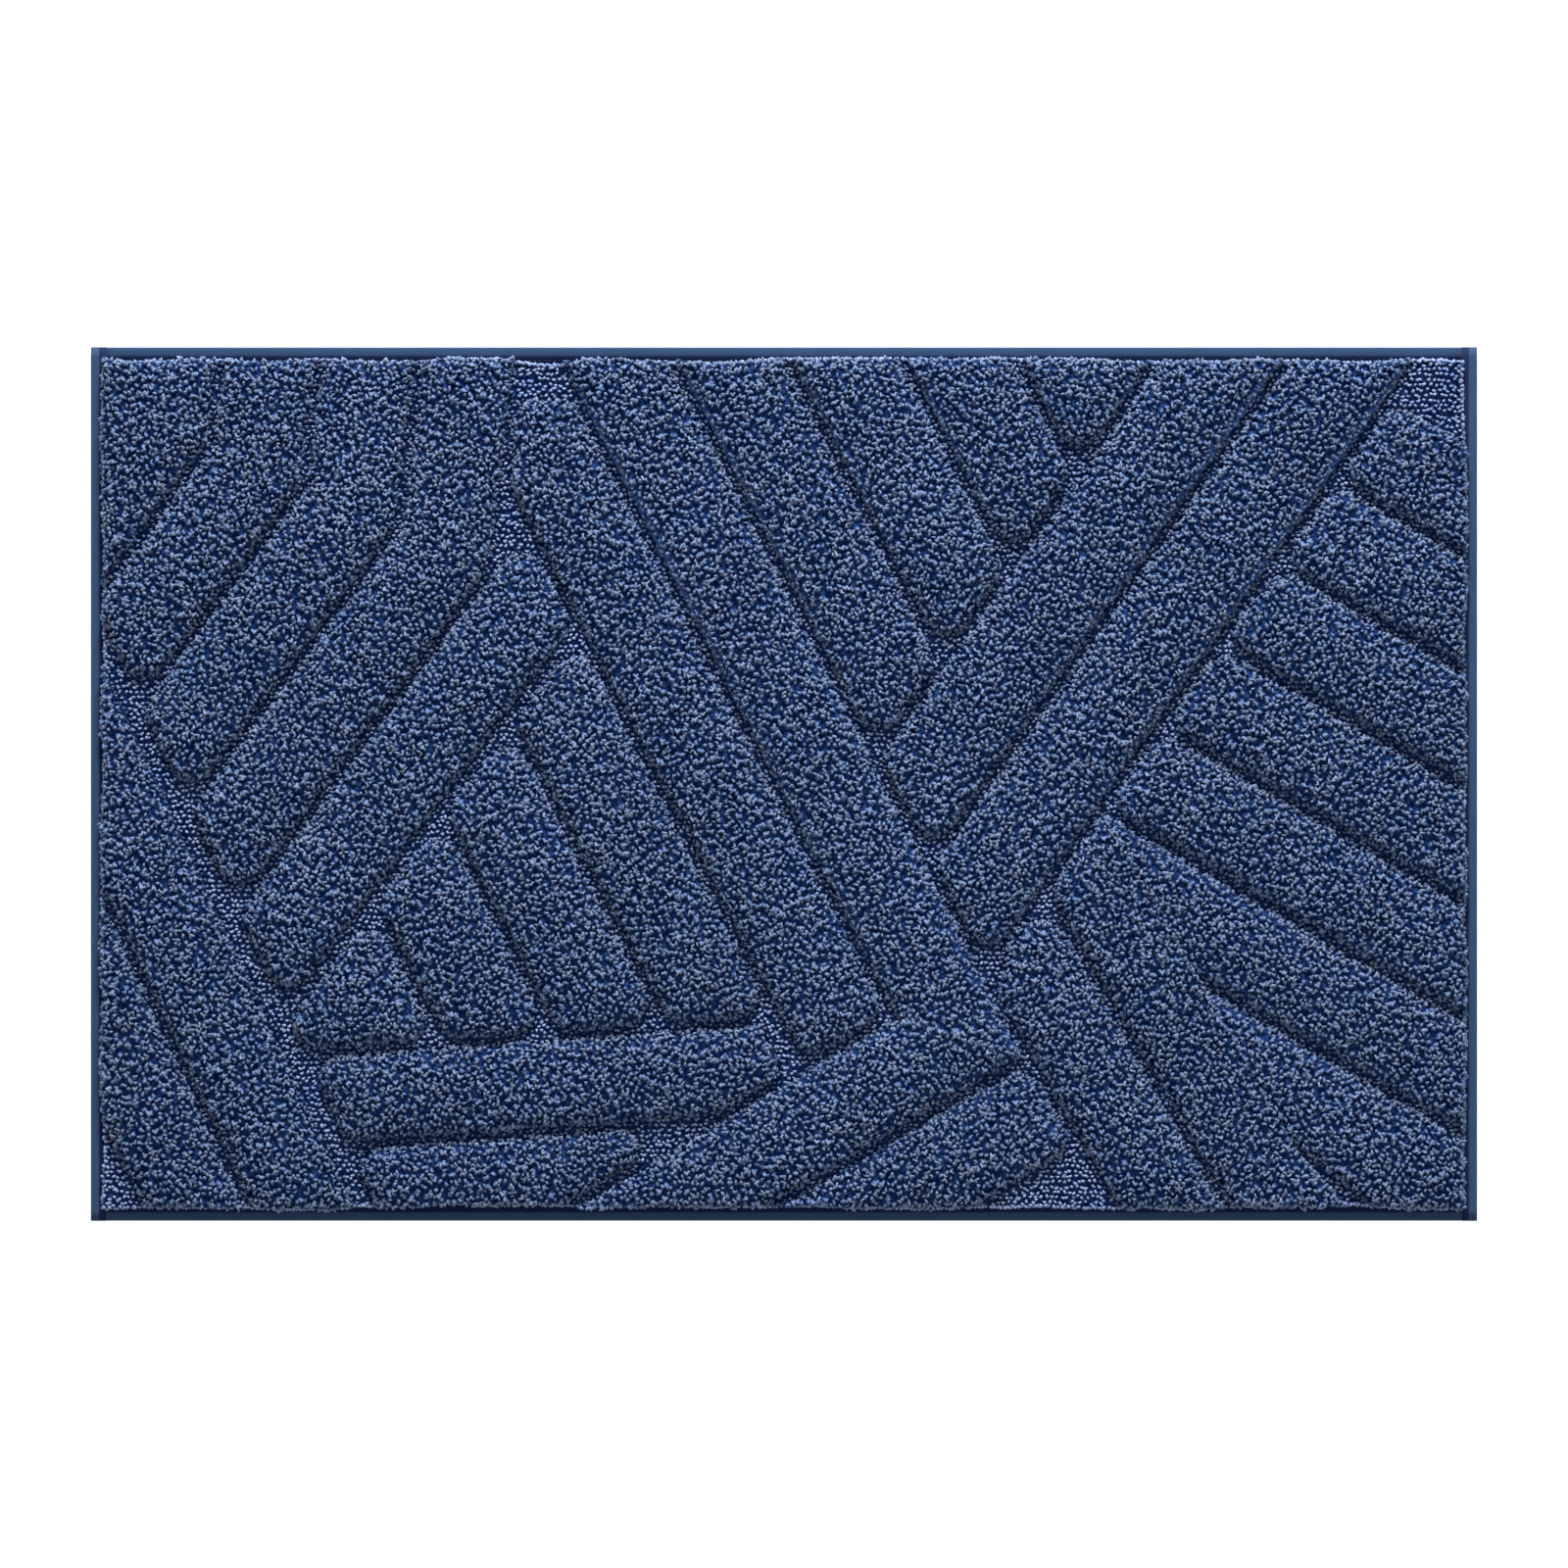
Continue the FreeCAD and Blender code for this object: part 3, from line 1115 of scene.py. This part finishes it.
@dataclass
class Seam:
    """Lock stitches through a tape: the needle thread on top and the bobbin thread below."""

    stitch: float = 2.9 * MM
    gap: float = 0.35 * MM
    thread: float = 0.55 * MM
    pressed: float = 0.7
    from_hem: float = 1.1 * MM

    def template(self) -> bpy.types.Object:
        """One stitch: a short plump piece of thread."""
        bm = bmesh.new()
        bmesh.ops.create_uvsphere(bm, u_segments=6, v_segments=4, radius=0.5)
        bmesh.ops.rotate(bm, verts=bm.verts, matrix=Matrix.Rotation(math.pi / 2, 3, "Y"))
        size = (self.stitch - self.gap, self.thread, self.thread * self.pressed)
        bmesh.ops.scale(bm, verts=bm.verts, vec=size)
        shade_smooth(bm)
        return object_of(bm, "lock_stitch")

    def build(self, thread: bpy.types.Material) -> None:
        """Sews all four edges.

        Args:
            thread: The thread's material.
        """
        sower = Sower("seam", [self.template()])
        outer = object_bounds()[1]
        for side in Side:
            node = f"stitching_{side.name.lower()}"
            low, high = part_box(node)
            tape_low, tape_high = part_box(f"binding_{side.name.lower()}")
            run = (high.x - low.x) if side.long else (high.y - low.y)
            reach = outer.y if side.long else outer.x
            wide = (tape_high.y - tape_low.y) if side.long else (tape_high.x - tape_low.x)
            turn = Matrix.Rotation(math.radians(side.value), 3, "Z")
            seeds = []
            for z in (high.z - self.thread * 0.1, self.thread * 0.35):
                for i in range(int(run / self.stitch)):
                    along = -run / 2 + (i + 0.5) * self.stitch
                    place = turn @ Vector((along, -reach + wide - self.from_hem, z))
                    seeds.append(Seed(place, Euler((0, 0, math.radians(side.value))), 1.0, 0.5, 0))
            mesh = sower.sow(node, seeds)
            piece = bpy.data.objects.new(f"seam_{side.name.lower()}", mesh)
            bpy.context.scene.collection.objects.link(piece)
            dress(piece, thread)
            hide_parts(node)


@dataclass
class Underside:
    """The moulded grip layer, with low round studs that meet the floor."""

    stud_pitch: float = 13 * MM
    stud_radius: float = 1.9 * MM
    stud_high: float = 0.6 * MM
    stud_taper: float = 0.78
    stud_sides: int = 9
    clear_end: float = 3 * MM
    clear_hem: float = 12 * MM
    clear_label: float = 3 * MM
    rim_round: float = 0.3 * MM

    def template(self) -> bpy.types.Object:
        """One stud, pointing down, narrower at its foot, with smooth-shaded sides."""
        bm = bmesh.new()
        bmesh.ops.create_cone(
            bm,
            cap_ends=True,
            segments=self.stud_sides,
            radius1=self.stud_radius * self.stud_taper,
            radius2=self.stud_radius,
            depth=self.stud_high,
            matrix=Matrix.Translation((0, 0, self.stud_high / 2)),
        )
        for face in bm.faces:
            face.smooth = len(face.verts) == 4
        return object_of(bm, "grip_stud")

    def build(self, rubber: bpy.types.Material) -> None:
        """Builds the grip layer and its studs.

        Args:
            rubber: The layer's material.
        """
        low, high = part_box("grip_backing")
        tape_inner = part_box("binding_front")[1].x - self.clear_end
        field_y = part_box("binding_left")[1].y - self.clear_hem
        sower = Sower("studs", [self.template()])
        seeds = []
        rows = int(2 * field_y / (self.stud_pitch * math.sin(math.radians(60))))
        label_low, label_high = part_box("care_label")
        clear = self.clear_label
        for row in range(rows + 1):
            y = -field_y + row * 2 * field_y / rows
            count = int(2 * tape_inner / self.stud_pitch)
            for i in range(count):
                x = -tape_inner + (i + 0.25 + row % 2 / 2) * 2 * tape_inner / count
                beside = label_low.x - clear < x < label_high.x + clear
                if not (beside and y < label_high.y + clear):
                    seeds.append(Seed(Vector((x, y, 0)), Euler((0, 0, 0)), 1.0, 0.5, 0))
        bm = bmesh.new()
        bm.from_mesh(sower.sow("studs", seeds))
        size = Vector((high.x - low.x, high.y - low.y, high.z - self.stud_high))
        sheet = bmesh.ops.create_cube(
            bm,
            size=1,
            matrix=Matrix.LocRotScale(Vector((0, 0, (high.z + self.stud_high) / 2)), None, size),
        )["verts"]
        rim = list(dict.fromkeys(edge for vert in sheet for edge in vert.link_edges))
        bmesh.ops.bevel(
            bm, geom=rim, offset=self.rim_round, affect="EDGES", segments=2, profile=0.5, material=-1
        )
        piece = object_of(bm, "studded_grip")
        dress(piece, rubber)
        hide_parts("grip_backing")
        LOG.info("%s: %d studs", piece.name, len(seeds))


@dataclass
class Layers:
    """The cloth that the loops are tufted through, and the latex coat that locks them."""

    cell: float = 12 * MM

    def build(self, cloth: bpy.types.Material, latex: bpy.types.Material, coat: bpy.types.Object) -> None:
        """Builds the cloth and dresses the coat.

        Args:
            cloth: The cloth's material.
            latex: The coat's material.
            coat: The CAD node of the coat.
        """
        low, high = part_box("base_cloth")
        size = high - low
        bm = bmesh.new()
        bmesh.ops.create_grid(
            bm,
            x_segments=round(size.x / self.cell),
            y_segments=round(size.y / self.cell),
            size=0.5,
            matrix=Matrix.LocRotScale(Vector((0, 0, high.z)), None, Vector((size.x, size.y, 1))),
        )
        piece = object_of(bm, "tufting_cloth")
        solid = piece.modifiers.new("cloth", "SOLIDIFY")
        solid.thickness, solid.offset = size.z, -1
        dress(piece, cloth)
        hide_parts("base_cloth")
        coat.data.materials.clear()
        coat.data.materials.append(latex)


@dataclass
class CareLabel:
    """A blank satin label, folded once, with its ends caught under the tape."""

    layer: float = 0.1 * MM
    cells: int = 10

    def build(self, satin: bpy.types.Material) -> None:
        """Folds the label and lays it under the mat.

        Args:
            satin: The label's material.
        """
        low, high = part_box("care_label")
        size = high - low
        fold = (size.z - self.layer) / 2
        bm = bmesh.new()
        chain = [bm.verts.new((low.x, low.y, low.z))]
        flat = [(size.y - fold) * (i + 1) / self.cells for i in range(self.cells)]
        for reach in flat:
            chain.append(bm.verts.new((low.x, low.y + reach, low.z)))
        for angle in (-45, 0, 45, 90):
            turn = math.radians(angle)
            middle = Vector((low.x, high.y - fold, low.z + fold))
            chain.append(bm.verts.new(middle + Vector((0, math.cos(turn), math.sin(turn))) * fold))
        for reach in flat:
            chain.append(bm.verts.new((low.x, high.y - fold - reach, low.z + 2 * fold)))
        sweep(bm, chain, self.cells, size.x)
        bmesh.ops.recalc_face_normals(bm, faces=bm.faces)
        piece = object_of(bm, "blank_label")
        solid = piece.modifiers.new("ribbon", "SOLIDIFY")
        solid.thickness, solid.offset = self.layer, 0
        dress(piece, satin)
        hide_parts("care_label")


@dataclass
class Studio:
    """A plain white floor, soft light from the back edge, and a camera straight above."""

    frame_width: float = 0.9005
    lens: float = 100.0
    sensor: float = 36.0
    sees_to: float = 20.0
    floor_half: float = 6.0
    floor_glow: float = 0.75
    room_glow: float = 0.27

    def build(self) -> None:
        """Sets the floor, the lights and the camera."""
        self.floor()
        self.lights()
        self.camera()

    def floor(self) -> None:
        """A large white floor that glows enough to stay white."""
        bm = bmesh.new()
        bmesh.ops.create_grid(bm, x_segments=1, y_segments=1, size=self.floor_half)
        floor = object_of(bm, "floor")
        material, tree = new_material("white_floor")
        finish_surface(
            tree,
            {
                "Base Color": linear("f4f4f4"),
                "Roughness": 0.9,
                "Emission Color": (1.0, 1.0, 1.0, 1.0),
                "Emission Strength": self.floor_glow,
            },
        )
        floor.data.materials.append(material)
        floor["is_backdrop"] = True

    def lights(self) -> None:
        """A wide low light from the back, a weak one from the front, and a pale room."""
        self.area("back_light", Vector((0.1, 3.15, 1.25)), size=0.9, power=169.0)
        self.area("front_fill", Vector((0.4, -1.4, 1.8)), size=1.6, power=5.0)
        world = bpy.data.worlds.new("pale_room")
        bpy.context.scene.world = world
        world.use_nodes = True
        background = world.node_tree.nodes["Background"]
        background.inputs["Color"].default_value = (1.0, 1.0, 1.0, 1.0)
        background.inputs["Strength"].default_value = self.room_glow

    def area(self, name: str, place: Vector, size: float, power: float) -> None:
        """Adds one square soft light aimed at the mat.

        Args:
            name: The light's name.
            place: Where it hangs.
            size: Its side.
            power: Its power in watts.
        """
        data = bpy.data.lights.new(name, "AREA")
        data.size, data.energy = size, power
        light = bpy.data.objects.new(name, data)
        light.location = place
        light.rotation_euler = place.to_track_quat("Z", "Y").to_euler()
        bpy.context.scene.collection.objects.link(light)

    def camera(self) -> None:
        """A long lens straight above the mat's centre."""
        data = bpy.data.cameras.new("overhead")
        data.lens, data.sensor_width = self.lens, self.sensor
        data.clip_end = self.sees_to
        camera = bpy.data.objects.new("overhead", data)
        camera.location = (0, 0, self.frame_width * self.lens / self.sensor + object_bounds()[1].z)
        bpy.context.scene.collection.objects.link(camera)
        bpy.context.scene.camera = camera


def main() -> None:
    """Builds the mat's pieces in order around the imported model."""
    logging.basicConfig(level=logging.INFO, format="%(message)s")
    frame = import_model()
    nodes = frame["nodes"]
    # Unseeded, noise vectors start from the clock and the low loops move from run to run.
    noise.seed_set(SEED)
    scene = bpy.context.scene
    scene.view_settings.view_transform = "Standard"
    Studio().build()

    tall_yarn = LoopYarn("looped_polyester_yarn", root="06225a", side="5470a0", crown="8496b8").build()
    low_yarn = LoopYarn(
        "low_looped_polyester_yarn", root="06184e", side="4a65a0", crown="abbde4", shine=0.05
    ).build()
    heart = PileHeart().build()
    tape = WovenCloth("woven_binding_tape", colour="48668c", shade="304e76", thread_mm=1.1).build()
    cloth = WovenCloth("woven_tufting_cloth", colour="31425f", shade="1c2a45", thread_mm=1.6).build()
    thread = WovenCloth("spun_sewing_thread", colour="3a4f78", shade="22345a", thread_mm=0.5).build()
    satin = WovenCloth(
        "satin_label_ribbon", colour="e6e6e2", shade="d2d2ce", thread_mm=0.6, roughness=0.45
    ).build()
    latex = MouldedRubber("latex_coat", colour="b9b4a4").build()
    rubber = MouldedRubber("moulded_grip_rubber", colour="5a6474").build()

    rng = random.Random(SEED)
    tall = RaisedBars(rng).build(nodes, tall_yarn, heart)
    low = LowPile(rng, tilt=0.18, root_depth=1.7 * MM, size_spread=0.1).build(nodes, low_yarn, heart)
    LOG.info("pile: %d tall loops and %d low loops", tall, low)
    Layers().build(cloth, latex, nodes["latex_coat"])
    for side in Side:
        LOG.info("%s", EdgeTape(side).build(tape).name)
    Seam().build(thread)
    Underside().build(rubber)
    CareLabel().build(satin)


if __name__ == "__main__":
    main()
